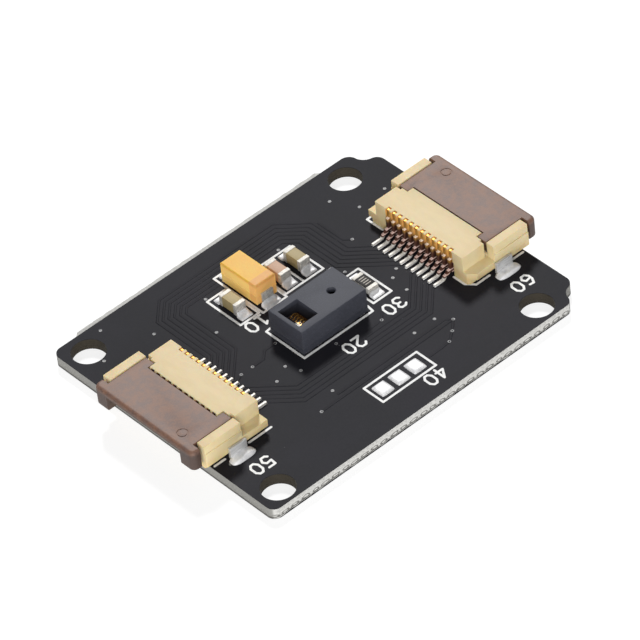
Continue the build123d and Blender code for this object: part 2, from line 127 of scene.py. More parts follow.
def lamp(name, direction, size, power):
    """A square lamp that looks at the middle of the board."""
    data = bpy.data.lights.new(name, "AREA")
    data.size = size
    data.energy = power
    obj = bpy.data.objects.new(name, data)
    scene.collection.objects.link(obj)
    obj.location = TARGET + direction.normalized() * LAMP_DISTANCE
    obj.rotation_euler = direction.to_track_quat("Z", "Y").to_euler()


scene.view_settings.view_transform = "Standard"
world = bpy.data.worlds.new("studio")
scene.world = world
world.use_nodes = True
sky = world.node_tree.nodes["Background"]
sky.inputs["Color"].default_value = (1, 1, 1, 1)
sky.inputs["Strength"].default_value = SKY_STRENGTH
lamp("key", KEY_DIRECTION, KEY_SIZE, KEY_POWER)
lamp("fill", FILL_DIRECTION, FILL_SIZE, FILL_POWER)

bpy.ops.object.select_all(action="DESELECT")
bpy.ops.mesh.primitive_plane_add(size=FLOOR_SIZE, location=(0, 0, -FLOOR_DROP))
floor = bpy.context.object
floor.name = "floor"
floor_material = bpy.data.materials.new("floor")
floor_material.use_nodes = True
floor_shader = floor_material.node_tree.nodes["Principled BSDF"]
floor_shader.inputs["Base Color"].default_value = (0.32, 0.32, 0.32, 1)
floor_shader.inputs["Roughness"].default_value = 0.9
floor_shader.inputs["Specular IOR Level"].default_value = 0.0
floor_shader.inputs["Emission Color"].default_value = (1, 1, 1, 1)
floor_shader.inputs["Emission Strength"].default_value = FLOOR_GLOW
seen_from = floor_material.node_tree.nodes.new("ShaderNodeNewGeometry")
above = floor_material.node_tree.nodes.new("ShaderNodeMath")
above.operation = "SUBTRACT"
above.inputs[0].default_value = 1.0
floor_material.node_tree.links.new(seen_from.outputs["Backfacing"], above.inputs[1])
floor_material.node_tree.links.new(above.outputs[0], floor_shader.inputs["Alpha"])
floor.data.materials.append(floor_material)

# %% [markdown]
# ## A small kit for finishes
# Every finish is a Principled shader whose colour, roughness and bump vary over the surface. All
# patterns are measured in millimetres on the object.

# %% Shader kit
def rgb(red, green, blue):
    """A display colour, 0 to 255, as the linear colour that a shader takes."""
    def linear(part):
        part = part / 255
        return part / 12.92 if part <= 0.04045 else ((part + 0.055) / 1.055) ** 2.4
    return (linear(red), linear(green), linear(blue), 1.0)


class Value:
    """A number that varies over the surface."""

    def __init__(self, finish, socket):
        self.finish = finish
        self.socket = socket

    def math(self, operation, *others):
        """The result of one Math node that takes this value first."""
        values = dict(enumerate((self,) + others))
        return self.finish.node("ShaderNodeMath", {"operation": operation}, values, 0)

    def __add__(self, other):
        return self.math("ADD", other)

    def __sub__(self, other):
        return self.math("SUBTRACT", other)

    def __mul__(self, other):
        return self.math("MULTIPLY", other)

    def __truediv__(self, other):
        return self.math("DIVIDE", other)


class Finish:
    """A material under construction."""

    def __init__(self, name, **constants):
        self.material = bpy.data.materials.new(name)
        self.material.use_nodes = True
        self.tree = self.material.node_tree
        self.shader = self.tree.nodes["Principled BSDF"]
        for socket, value in constants.items():
            self.shader.inputs[socket.replace("_", " ")].default_value = value
        place = self.node("ShaderNodeTexCoord", {}, {}, "Object")
        scale = (1 / MM, 1 / MM, 1 / MM)
        self.mm = self.node("ShaderNodeMapping", {}, {"Vector": place, "Scale": scale}, "Vector")
        self.x = self.node("ShaderNodeSeparateXYZ", {}, {"Vector": self.mm}, "X")
        self.y = self.node("ShaderNodeSeparateXYZ", {}, {"Vector": self.mm}, "Y")
        self.z = self.node("ShaderNodeSeparateXYZ", {}, {"Vector": self.mm}, "Z")

    def node(self, kind, settings, values, output):
        """Add a node, set it, feed its sockets, and give back one of its outputs."""
        made = self.tree.nodes.new(kind)
        for name, setting in settings.items():
            setattr(made, name, setting)
        for name, value in values.items():
            if isinstance(value, Value):
                self.tree.links.new(value.socket, made.inputs[name])
            else:
                made.inputs[name].default_value = value
        return Value(self, made.outputs[output])

    def stretched(self, x, y, z):
        """The place in millimetres, scaled along each axis, for grain that runs one way."""
        return self.node("ShaderNodeMapping", {}, {"Vector": self.mm, "Scale": (x, y, z)}, "Vector")

    def noise(self, scale, detail=2.0, rough=0.5, place=None):
        """Clouds from 0 to 1; a scale of 1 gives clouds of about a millimetre."""
        values = {"Vector": place or self.mm, "Scale": scale, "Detail": detail, "Roughness": rough}
        return self.node("ShaderNodeTexNoise", {}, values, "Fac")

    def cells(self, scale):
        """The distance to the nearest of many scattered points."""
        values = {"Vector": self.mm, "Scale": scale}
        return self.node("ShaderNodeTexVoronoi", {}, values, "Distance")

    def step(self, value, low, high):
        """0 below low, 1 above high and a smooth rise between; falls when low is above high."""
        values = {"Value": value, "From Min": low, "From Max": high}
        return self.node("ShaderNodeMapRange", {"interpolation_type": "SMOOTHSTEP"}, values, "Result")

    def spread(self, value, low, high):
        """A 0 to 1 value spread between two numbers."""
        return value * (high - low) + low

    def mix(self, factor, first, second):
        """Blend two colours."""
        values = {"Factor": factor, 6: first, 7: second}
        return self.node("ShaderNodeMix", {"data_type": "RGBA"}, values, 2)

    def bump(self, height, depth):
        """Shade the surface as if it rose by depth millimetres where height is 1."""
        values = {"Height": height, "Distance": depth * MM}
        self.feed(Normal=self.node("ShaderNodeBump", {}, values, "Normal"))

    def feed(self, **links):
        """Link values to the shader's sockets."""
        for socket, value in links.items():
            self.tree.links.new(value.socket, self.shader.inputs[socket.replace("_", " ")])


finishes = {}


def middle_and_half(name):
    """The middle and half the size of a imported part, in millimetres."""
    low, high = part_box(name)
    return (low + high) / 2 / MM, (high - low) / 2 / MM


def keep(name, finish):
    """Store a finished material under the record's slot name."""
    finishes[name] = finish.material
    print("finish:", name)


print("white 240 in linear light:", round(rgb(240, 240, 240)[0], 3))

# %% [markdown]
# ## Black solder mask
# The mask is a black lacquer, matt to satin, over woven glass. It could be flat paint, but real
# mask shows the weave below it, a fine orange-peel texture, small shifts in its gloss and a few
# specks of dust.

# %% Solder mask
def mask_finish():
    finish = Finish("solder_mask_black", Specular_IOR_Level=0.12)
    cloud = finish.noise(0.35, 3.0)
    grain = finish.noise(9.0, 3.0, 0.6)
    weave = (finish.x * 14.0).math("SINE") * (finish.y * 14.0).math("SINE")
    colour = finish.mix(finish.step(cloud, 0.3, 0.7), (0.0135, 0.0135, 0.0175, 1),
                        (0.0200, 0.0195, 0.0250, 1))
    dust = finish.step(finish.cells(1.1), 0.045, 0.03) * finish.step(finish.noise(1.1), 0.60, 0.62)
    finish.feed(Base_Color=finish.mix(dust, colour, rgb(130, 130, 132)))
    finish.feed(Roughness=finish.spread(cloud * 0.5 + grain * 0.5, 0.54, 0.70))
    finish.bump(grain * 0.7 + weave * 0.12, 0.004)
    return finish


keep("mask", mask_finish())

# %% [markdown]
# ## Bare laminate
# Glass cloth in epoxy. A cut edge shows the ends of the yarns as flat ovals in a whitish resin, with
# painted shade on its lower band, a routed edge is smoother and greyer, and a drilled wall is brown
# from the heat of the drill and darkened further with painted shade.

# %% Laminate
HOLE_X = 10.475
HOLE_Y = 8.54
HOLE_RADIUS = 1.10
ROUTED_FROM = 11.85
YARN_PITCH = 0.78
YARN_HALF = 0.25


def laminate_finish():
    finish = Finish("glass_epoxy_laminate", Specular_IOR_Level=0.25)
    wander = finish.noise(1.3, 2.0)
    along = finish.x + finish.y + wander * 0.5
    fibre = finish.noise(7.0, 4.0, 0.7, finish.stretched(1.0, 1.0, 3.5))
    resin = finish.mix(fibre, rgb(168, 167, 163), rgb(236, 235, 231))

    def yarn_ends(height, half, offset):
        turn = (along / YARN_PITCH + offset).math("FRACT") - 0.5
        across = turn * (YARN_PITCH / YARN_HALF)
        rise = (finish.z - height + (wander - 0.5) * 0.12) / half
        radius = (across * across + rise * rise).math("SQRT")
        return finish.step((radius - 1.0).math("ABSOLUTE"), 0.42, 0.08)

    # The yarn ends are real; drawn at full strength low on the cut edge, with a dark line under them,
    # they are also painted shade of the V-groove's underside.
    lower = yarn_ends(0.23, 0.095, 0.0)
    upper = yarn_ends(0.56, 0.08, 0.45)
    groove_shade_line = finish.step((finish.z - 0.12 - (wander - 0.5) * 0.10).math("ABSOLUTE"), 0.05, 0.015)
    ends = finish.step(lower + upper * 0.35 + groove_shade_line * 0.9, 0.0, 1.0)
    cut = finish.mix(ends * 0.85, resin, rgb(84, 82, 78))
    routed = finish.mix(fibre, rgb(112, 111, 107), rgb(172, 171, 166))
    routed = finish.mix(finish.step(finish.z, 0.22, 0.10), routed, rgb(92, 90, 86))
    end = finish.step(finish.x.math("ABSOLUTE"), ROUTED_FROM, ROUTED_FROM + 0.13)
    edge = finish.mix(end, cut, routed)
    dx = finish.x.math("ABSOLUTE") - HOLE_X
    dy = finish.y.math("ABSOLUTE") - HOLE_Y
    from_hole = (dx * dx + dy * dy).math("SQRT")
    # The drilled wall is brown, and darkened further with painted shade inside the hole.
    drilled = finish.step(from_hole, HOLE_RADIUS + 0.20, HOLE_RADIUS + 0.06)
    wall = finish.mix(fibre, rgb(40, 36, 30), rgb(76, 69, 56))
    finish.feed(Base_Color=finish.mix(drilled, edge, wall))
    finish.feed(Roughness=finish.spread(fibre, 0.6, 0.85))
    finish.bump(fibre * 0.6 - lower * 0.5, 0.03)
    return finish


keep("laminate", laminate_finish())

# %% [markdown]
# ## White ink
# Screen printed ink is never a clean white: it is thinner at places and slightly rough.

# %% Ink
def ink_finish():
    finish = Finish("legend_ink_white", Specular_IOR_Level=0.3)
    thin = finish.noise(4.0, 4.0, 0.65)
    tone = finish.mix(finish.step(thin, 0.25, 0.6), rgb(228, 229, 230), rgb(250, 250, 248))
    finish.feed(Base_Color=tone)
    finish.feed(Roughness=finish.spread(thin, 0.55, 0.8))
    finish.bump(thin, 0.008)
    return finish


keep("ink", ink_finish())

# %% [markdown]
# ## Metals
# Solder freezes with soft wrinkles and a frosted skin, so its roughness changes in patches. Plated
# contacts are golden at the spring, darker brown below it, tinned silver at the tail, and their ledges
# get painted highlights. The sheet of the hold-downs is tin over steel with a fine rolling grain.

# %% Metals
def metal_finish(name, dark, light, rough, grain, depth, metallic=1.0, stretch=(1.0, 1.0, 1.0)):
    """A metal whose colour and frost vary in patches."""
    finish = Finish(name, Metallic=metallic)
    place = finish.stretched(*stretch)
    patch = finish.noise(grain, 4.0, 0.6, place)
    finish.feed(Base_Color=finish.mix(finish.step(patch, 0.3, 0.7), dark, light))
    finish.feed(Roughness=finish.spread(patch, *rough))
    finish.bump(patch, depth)
    return finish


TOP_LEDGE = 1.34
UPPER_STEP = 0.56
LOWER_STEP = 0.33


def contact_finish():
    """Gold over the spring, darker brown below it, painted highlights on the ledges and a tinned tail.
    """
    finish = Finish("plated_contact")
    height = finish.z - BOARD_TOP / MM
    patch = finish.noise(6.0, 3.0)

    def ledge(level):
        """1 on the flat top of a ledge at this height above the board."""
        return finish.step((height - level).math("ABSOLUTE"), 0.050, 0.025)

    # Painted highlights: the ledge tops are pale and not metallic, so they look lit.
    top_ledge_highlight = ledge(TOP_LEDGE)
    low_ledge_highlights = ledge(UPPER_STEP) + ledge(LOWER_STEP)
    gold = finish.mix(patch, rgb(205, 140, 60), rgb(250, 205, 120))
    # Darker brown on the contact below the spring, blending into the gold above it.
    brown_below_spring = finish.mix(patch, rgb(82, 48, 38), rgb(140, 98, 84))
    tin = finish.mix(patch, rgb(226, 222, 214), rgb(250, 247, 240))
    upper = finish.mix(finish.step(height, 0.95, 1.30), brown_below_spring, gold)
    upper = finish.mix(top_ledge_highlight, upper, rgb(255, 236, 214))
    upper = finish.mix(low_ledge_highlights, upper, rgb(236, 202, 190))
    low = finish.step(height, 0.24, 0.17)
    finish.feed(Base_Color=finish.mix(low, upper, tin))
    # The painted ledge highlights are not metallic, and the tinned tail is less so.
    ledge_highlights = top_ledge_highlight + low_ledge_highlights
    finish.feed(Metallic=finish.step(ledge_highlights + low * 0.6, 1.0, 0.0) * 0.9)
    finish.feed(Roughness=finish.spread(patch, 0.42, 0.66))
    finish.bump(patch, 0.006)
    return finish


keep("solder", metal_finish("tin_solder", rgb(226, 226, 228), rgb(255, 255, 255),
                            rough=(0.42, 0.62), grain=2.6, depth=0.02, metallic=0.15))
keep("steel", metal_finish("tinned_steel", rgb(196, 196, 196), rgb(226, 226, 226),
                           rough=(0.45, 0.62), grain=6.0, depth=0.006, metallic=0.5,
                           stretch=(0.2, 1.0, 1.0)))
keep("end_metal", metal_finish("tinned_termination", rgb(192, 189, 183), rgb(230, 227, 220),
                               rough=(0.58, 0.76), grain=5.0, depth=0.02, metallic=0.6))
keep("gold", metal_finish("bond_gold", rgb(226, 160, 80), rgb(255, 220, 140),
                          rough=(0.4, 0.6), grain=8.0, depth=0.004))
keep("tantalum", metal_finish("sintered_tantalum", rgb(70, 70, 74), rgb(120, 118, 118),
                              rough=(0.7, 0.9), grain=12.0, depth=0.02))
keep("contact_metal", contact_finish())

# %% [markdown]
# ## Moulded plastics
# Ivory liquid-crystal polymer is slightly translucent, with flow lines from the gate, and its colour
# carries painted shade and painted warm bounce light. The brown of the slide locks is mottled, almost
# suede-like, and darker below its top with painted shade. The sensor cap is a finely eroded dark
# slate, and the tantalum capacitor is moulded in yellow epoxy, its sides painted lighter, with a
# painted glow.

# %% Plastics
BACK_FACES = {"right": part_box("right_connector_housing")[0].x / MM,
              "left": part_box("left_connector_housing")[1].x / MM}
COMB_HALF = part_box("right_connector_contacts")[1].y / MM + 0.10
CONTACT_PITCH = 0.5
HOUSING_TOP = (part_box("right_connector_housing")[1].z - BOARD_TOP) / MM


def ivory_finish():
    """Ivory; painted shade on top and in the slots, painted warm bounce light low down and at the
    comb.
    """
    finish = Finish("ivory_polymer", Specular_IOR_Level=0.4, Subsurface_Weight=0.30,
                    Subsurface_Radius=(1.0, 0.45, 0.15), Subsurface_Scale=0.45 * MM)
    flow = finish.noise(1.4, 4.0, 0.6, finish.stretched(1.0, 0.35, 1.0))
    grain = finish.noise(16.0, 2.0)
    height = finish.z - BOARD_TOP / MM
    streak = finish.step(flow, 0.3, 0.7)
    side_tone = finish.mix(streak, rgb(226, 207, 160), rgb(231, 213, 168))
    # Painted shade: the top face gets a slightly darker copy of the side tone.
    shaded_top_tone = finish.mix(streak, rgb(221, 200, 156), rgb(227, 207, 165))
    crown = finish.step(height, HOUSING_TOP - 0.06, HOUSING_TOP - 0.01)
    # Painted warm bounce light, stronger towards the board.
    low = finish.step(height, 1.25, 0.25)
    tone = finish.mix(low * 0.45, finish.mix(crown, side_tone, shaded_top_tone), rgb(222, 186, 118))
    comb = finish.step(finish.y.math("ABSOLUTE"), COMB_HALF + 0.04, COMB_HALF - 0.02)
    comb = comb * finish.step(height, 1.97, 1.88)
    across = ((finish.y / CONTACT_PITCH).math("FRACT") - 0.5).math("ABSOLUTE")
    slots_across = finish.step(across, 0.35, 0.30) * finish.step(height, 1.99, 1.97)
    for end, side in (("right", 1), ("left", -1)):
        inward = (finish.x - BACK_FACES[end]) * side
        near_back = finish.step(inward, 0.40, 0.30) * finish.step(inward, -0.5, -0.3)
        # Painted light and shade at the back comb: an amber glow near the top, dark brown shade lower
        # down.
        amber = finish.mix(finish.step(height, 0.9, 1.75), rgb(96, 52, 22), rgb(232, 164, 72))
        tone = finish.mix(comb * near_back * 0.9, tone, amber)
        # Painted shade, orange brown, in the slots of the front face.
        slot = slots_across * finish.step(inward, 2.20, 2.28) * finish.step(inward, 2.60, 2.50)
        tone = finish.mix(comb * slot * 0.85, tone, rgb(150, 78, 26))
    finish.feed(Base_Color=tone)
    finish.feed(Roughness=finish.spread(flow * 0.5 + grain * 0.5, 0.50, 0.70))
    finish.bump(grain * 0.6 + flow * 0.4, 0.006)
    return finish


SLIDER_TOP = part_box("right_connector_slider")[1].z / MM


def brown_finish():
    finish = Finish("brown_polymer", Specular_IOR_Level=0.75)
    patch = finish.noise(1.5, 6.0, 0.72)
    grain = finish.noise(9.0, 4.0, 0.7)
    shade = finish.mix(finish.step(patch, 0.36, 0.64), rgb(96, 70, 60), rgb(124, 86, 64))
    shade = finish.mix(finish.step(grain, 0.35, 0.75) * 0.4, shade, rgb(146, 110, 90))
    # Painted shade: the sides below the top rim darken towards a deep brown.
    under = finish.step(finish.z, SLIDER_TOP - 0.02, SLIDER_TOP - 0.40)
    finish.feed(Base_Color=finish.mix(under * 0.8, shade, rgb(44, 28, 22)))
    finish.feed(Roughness=finish.spread(patch * 0.4 + grain * 0.6, 0.50, 0.68))
    finish.bump(grain * 0.8 + patch * 0.3, 0.014)
    return finish


def slate_finish():
    finish = Finish("slate_polymer", Specular_IOR_Level=0.6)
    grain = finish.noise(11.0, 4.0, 0.65)
    cloud = finish.noise(0.9, 2.0)
    dark = finish.mix(cloud, rgb(50, 52, 61), rgb(60, 62, 72))
    finish.feed(Base_Color=finish.mix(finish.step(grain, 0.42, 0.75) * 0.3, dark, rgb(100, 102, 118)))
    finish.feed(Roughness=finish.spread(grain, 0.56, 0.80))
    finish.bump(grain, 0.016)
    return finish


def amber_finish():
    """Yellow epoxy with a polarity band, its sides painted lighter and given a painted glow."""
    low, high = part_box("tantalum_body")
    finish = Finish("amber_epoxy", Specular_IOR_Level=0.45, Subsurface_Weight=0.5,
                    Subsurface_Radius=(1.0, 0.6, 0.25), Subsurface_Scale=0.6 * MM,
                    Emission_Strength=0.16)
    grain = finish.noise(9.0, 4.0, 0.6)
    tone = finish.mix(grain, rgb(226, 172, 62), rgb(240, 194, 88))
    # Painted light: the sides below the top are painted lighter and given a glow of their own.
    painted_side_light = finish.step(finish.z, high.z / MM - 0.05, high.z / MM - 0.30)
    tone = finish.mix(painted_side_light, tone, rgb(255, 208, 122))
    end = low.y / MM + 0.62
    band = finish.step(finish.y + (grain - 0.5) * 0.05, end + 0.03, end - 0.03)
    finish.feed(Base_Color=finish.mix(band * 0.8, tone, rgb(222, 164, 100)))
    finish.feed(Emission_Color=finish.mix(painted_side_light, rgb(0, 0, 0), rgb(255, 200, 110)))
    finish.feed(Roughness=finish.spread(grain, 0.46, 0.66))
    finish.bump(grain, 0.008)
    return finish


keep("ivory", ivory_finish())
keep("brown", brown_finish())
keep("slate", slate_finish())
keep("amber", amber_finish())

# %% [markdown]
# ## Ceramics, glass and silicon
# Capacitor bodies are fired ceramic with faint layers. The resistor has a white alumina base under
# a black glass coat that carries a few plain light bars. The dies are polished silicon, on a dark
# substrate that is golden where they are attached.

# %% Ceramics and dies
BAR_PITCH = 0.20


def ceramic_finish(name, dark, light):
    finish = Finish(name, Specular_IOR_Level=0.5)
    grain = finish.noise(8.0, 4.0, 0.6)
    layer = (finish.z * 90.0).math("SINE") * 0.5 + 0.5
    finish.feed(Base_Color=finish.mix(grain * 0.8 + layer * 0.2, dark, light))
    finish.feed(Roughness=finish.spread(grain, 0.5, 0.7))
    finish.bump(grain, 0.006)
    return finish


def overcoat_finish():
    """Black glass with a block of short light bars in the middle."""
    middle, _ = middle_and_half("resistor_overcoat")
    finish = Finish("black_glass_coat", Specular_IOR_Level=0.3)
    grain = finish.noise(10.0, 3.0)
    across = finish.x - middle.x
    along = finish.y - middle.y
    ripple = (along / BAR_PITCH).math("FRACT") - 0.5
    bars = finish.step(ripple.math("ABSOLUTE"), 0.22, 0.14)
    bars = bars * finish.step(across.math("ABSOLUTE"), 0.25, 0.20)
    bars = bars * finish.step(along.math("ABSOLUTE"), 0.42, 0.38)
    dark = finish.mix(grain, rgb(30, 28, 28), rgb(48, 45, 44))
    worn = finish.step(grain, 0.2, 0.45)
    finish.feed(Base_Color=finish.mix(bars * worn, dark, rgb(196, 190, 180)))
    finish.feed(Roughness=finish.spread(grain, 0.55, 0.7))
    finish.bump(grain, 0.004)
    return finish


def die_finish():
    finish = Finish("polished_silicon", Specular_IOR_Level=0.6)
    cells = finish.cells(7.0)
    tone = finish.mix(finish.step(cells, 0.2, 0.6), rgb(38, 44, 58), rgb(92, 84, 92))
    finish.feed(Base_Color=tone)
    finish.feed(Roughness=finish.spread(cells, 0.3, 0.5))
    finish.bump(cells, 0.004)
    return finish


def substrate_finish():
    """Dark laminate outside, and inside the cap a golden die-attach area."""
    middle, half = middle_and_half("sensor_substrate")
    finish = Finish("package_substrate", Specular_IOR_Level=0.3)
    grain = finish.noise(6.0, 4.0)
    from_middle_x = (finish.x - middle.x).math("ABSOLUTE")
    from_middle_y = (finish.y - middle.y).math("ABSOLUTE")
    inside = finish.step(from_middle_x, half.x - 0.10, half.x - 0.20)
    inside = inside * finish.step(from_middle_y, half.y - 0.10, half.y - 0.20)
    outer = finish.mix(grain, rgb(44, 46, 54), rgb(62, 64, 74))
    inner = finish.mix(grain, rgb(120, 78, 40), rgb(186, 130, 72))
    finish.feed(Base_Color=finish.mix(inside, outer, inner))
    finish.feed(Roughness=finish.spread(grain, 0.5, 0.7))
    finish.bump(grain, 0.006)
    return finish


keep("ceramic_tan", ceramic_finish("tan_ceramic", rgb(150, 134, 92), rgb(186, 168, 122)))
keep("ceramic_pink", ceramic_finish("pink_ceramic", rgb(182, 142, 116), rgb(210, 176, 150)))
keep("alumina", ceramic_finish("white_alumina", rgb(214, 212, 204), rgb(238, 236, 230)))
keep("overcoat", overcoat_finish())
keep("silicon", die_finish())
keep("substrate", substrate_finish())

# %% [markdown]
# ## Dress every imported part
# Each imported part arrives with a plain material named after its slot. It is swapped for the finish
# of the same name, and the parts that get a softened or re-modelled piece keep the same slot name.

# %% Dress the frame
slots = {name: node.data.materials[0].name.split(".")[0] for name, node in nodes.items()}
for name, node in nodes.items():
    for material_slot in node.material_slots:
        material_slot.material = finishes[slots[name]]
print("slots in use:", sorted(set(slots.values())))

# %% [markdown]
# ## Tools for modelling
# Most of the modelling is done by operators, in edit mode. An operator works on what is selected, so
# the helpers set the selection first.

# %% Modelling helpers
MERGE_DISTANCE = 0.0005 * MM
FLAT_ANGLE = math.radians(1)
SHARP_ANGLE = math.radians(30)
SMOOTH_ANGLE = math.radians(38)


def only(piece):
    """Select one object and make it active."""
    bpy.ops.object.select_all(action="DESELECT")
    piece.select_set(True)
    bpy.context.view_layer.objects.active = piece


def apply(piece, kind, **settings):
    """Add a modifier, set it and apply it."""
    only(piece)
    modifier = piece.modifiers.new(kind.lower(), kind)
    for name, value in settings.items():
        setattr(modifier, name, value)
    bpy.ops.object.modifier_apply(modifier=modifier.name)


def triangles(piece):
    """How many triangles a mesh has."""
    return sum(len(face.vertices) - 2 for face in piece.data.polygons)


def stand_for(piece, *names):
    """Let a piece ride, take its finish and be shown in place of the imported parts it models."""
    first = names[0]
    piece.data.materials.clear()
    piece.data.materials.append(finishes[slots[first]])
    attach(piece, nodes[first]["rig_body"])
    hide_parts(*names)
    print(f"{piece.name}: {triangles(piece)} triangles")


def merged_copy(name, piece_name):
    """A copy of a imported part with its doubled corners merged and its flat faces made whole."""
    piece = bpy.data.objects.new(piece_name, nodes[name].data.copy())
    scene.collection.objects.link(piece)
    only(piece)
    bpy.ops.object.mode_set(mode="EDIT")
    bpy.ops.mesh.select_all(action="SELECT")
    bpy.ops.mesh.remove_doubles(threshold=MERGE_DISTANCE)
    bpy.ops.mesh.dissolve_limited(angle_limit=FLAT_ANGLE)
    bpy.ops.object.mode_set(mode="OBJECT")
    return piece


def soften(name, piece_name, radius, segments=2):
    """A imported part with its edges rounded, as every moulded or stamped edge is."""
    piece = merged_copy(name, piece_name)
    apply(piece, "BEVEL", width=radius * MM, segments=segments, limit_method="ANGLE",
          angle_limit=SHARP_ANGLE, use_clamp_overlap=True, harden_normals=False)
    bpy.ops.object.shade_smooth_by_angle(angle=SMOOTH_ANGLE)
    stand_for(piece, name)


def solids(name):
    """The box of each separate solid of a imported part, sorted from left to right and near to far."""
    shape = bmesh.new()
    shape.from_mesh(nodes[name].data)
    bmesh.ops.remove_doubles(shape, verts=shape.verts, dist=MERGE_DISTANCE)
    waiting = set(shape.verts)
    boxes = []
    while waiting:
        group = {waiting.pop()}
        edge = set(group)
        while edge:
            edge = {e.other_vert(v) for v in edge for e in v.link_edges} - group
            group |= edge
        waiting -= group
        spans = [[v.co[axis] for v in group] for axis in range(3)]
        boxes.append((Vector([min(s) for s in spans]), Vector([max(s) for s in spans])))
    shape.free()
    return sorted(boxes, key=lambda corners: (round(corners[0].x, 5), corners[0].y))


def centres(name):
    """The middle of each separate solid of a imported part, in millimetres."""
    return [low.lerp(high, 0.5) / MM for low, high in solids(name)]


def select(piece, kind, wanted):
    """In edit mode, select the faces or the edges for which wanted(element) is true."""
    bpy.ops.mesh.select_all(action="DESELECT")
    shape = bmesh.from_edit_mesh(piece.data)
    for element in getattr(shape, kind):
        element.select_set(wanted(element))
    bmesh.update_edit_mesh(piece.data)


print("vias:", len(solids("via_pads")), "jumper pads:", len(solids("jumper_pads")))

# %% [markdown]
# ## Softened mouldings
# A moulded or stamped edge is never razor sharp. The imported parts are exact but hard-edged, so each
# of them is copied, its corners are merged, and a narrow bevel rounds every edge that turns by more
# than thirty degrees. The bevel is smaller on thin metal than on plastic.

# %% Softened mouldings
for end in ("right", "left"):
    soften(f"{end}_connector_housing", f"{end}_housing_moulding", 0.045)
    soften(f"{end}_connector_slider", f"{end}_slide_lock", 0.055, 3)
    soften(f"{end}_connector_contacts", f"{end}_spring_contacts", 0.020)
    soften(f"{end}_connector_hold_downs", f"{end}_hold_down_clips", 0.020)
soften("sensor_cap", "sensor_cap_moulding", 0.045, 3)
soften("sensor_substrate", "sensor_base", 0.020)
soften("tantalum_body", "tantalum_moulding", 0.050, 3)
for terminal in ("anode", "cathode"):
    soften(f"tantalum_{terminal}_terminal", f"tantalum_{terminal}_strip", 0.025)
for number in (1, 2, 3):
    soften(f"ceramic_capacitor_{number}_body", f"ceramic_{number}_block", 0.030)
    soften(f"ceramic_capacitor_{number}_ends", f"ceramic_{number}_caps", 0.035)
soften("resistor_base", "resistor_slab", 0.020)
soften("resistor_ends", "resistor_caps", 0.020)
soften("resistor_overcoat", "resistor_glass_coat", 0.020)

# %% [markdown]
# ## Copper under the mask
# Tracks are thin copper ribbons, and the lacquer flows over them, so each one shows as a low rounded
# ridge that is only visible where light grazes it. They could be a bump pattern, but real ridges
# keep their shape in every view. Each track is a curve with a round section, turned into a mesh and
# pressed flat, with its lower half sunk in the mask.

# %% Tracks
TRACK_WIDTH = 0.17
TRACK_RISE = 0.016
LANE_PITCH = 0.345
BEND_SHIFT = math.tan(math.radians(22.5)) * LANE_PITCH
FAR_LANES = 6
FAR_INSET = 1.30
FAR_BEND_X = 4.60
FAR_LEFT_X = -6.00
FAR_RIGHT_X = 6.35
PAD_RUN = 0.45
NEAR_LANES = 5
NEAR_Y = -4.35
NEAR_LEFT_BEND_X = -4.55
NEAR_RIGHT_BEND_X = 5.75

left_pads = sorted(centres("left_connector_contact_solder"), key=lambda pad: pad.y)
right_pads = sorted(centres("right_connector_contact_solder"), key=lambda pad: pad.y)
far_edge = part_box("solder_mask_top")[1].y / MM


def far_lane(place, left_pad, right_pad):
    """A track that turns from both connectors to the far side and runs along the far edge."""
    y = far_edge - FAR_INSET - LANE_PITCH * place
    bend = FAR_BEND_X - BEND_SHIFT * place
    left_turn = FAR_LEFT_X + LANE_PITCH * place
    right_turn = FAR_RIGHT_X - LANE_PITCH * place
    left_start = left_pad.x + PAD_RUN
    right_start = right_pad.x - PAD_RUN
    return [(left_pad.x, left_pad.y), (left_start, left_pad.y),
            (left_turn, left_pad.y + left_turn - left_start), (left_turn, y - (-bend - left_turn)),
            (-bend, y), (bend, y), (right_turn, y - (right_turn - bend)),
            (right_turn, right_pad.y + right_start - right_turn), (right_start, right_pad.y),
            (right_pad.x, right_pad.y)]


def near_lane(place, left_pad, right_pad):
    """A track that leaves both connectors straight and crosses the near half of the board."""
    y = NEAR_Y + LANE_PITCH * place
    drop = left_pad.y - y
    left_bend = NEAR_LEFT_BEND_X + BEND_SHIFT * place
    right_bend = NEAR_RIGHT_BEND_X - BEND_SHIFT * place
    return [(left_pad.x, left_pad.y), (left_bend - drop, left_pad.y), (left_bend, y), (right_bend, y),
            (right_bend + drop, right_pad.y), (right_pad.x, right_pad.y)]


routes = [far_lane(place, left_pads[-1 - place], right_pads[-1 - place]) for place in range(FAR_LANES)]
routes += [near_lane(place, left_pads[place], right_pads[place]) for place in range(NEAR_LANES)]
routes += [
    [(-4.50, -5.75), (6.25, -5.70)],
    [(-2.85, -5.35), (5.90, -5.35), (6.25, -5.70)],
    [(2.60, -7.02), (4.00, -7.02), (4.75, -6.95), (5.50, -6.40), (6.25, -5.70)],
    [(2.20, -2.62), (3.30, -2.55), (3.95, -1.90)],
    [(0.05, -1.10), (0.05, -2.05)],
    [(-5.60, 0.17), (left_pads[5].x, left_pads[5].y)],
    [(-4.70, 0.17), (-3.80, 0.17), (-3.27, 0.70), (-2.40, 0.70), (-1.60, 0.70)],
    [(7.00, 4.10), (6.60, 4.50), (6.60, 6.80)],
    [(4.66, 2.25), (4.66, 1.20)],
]

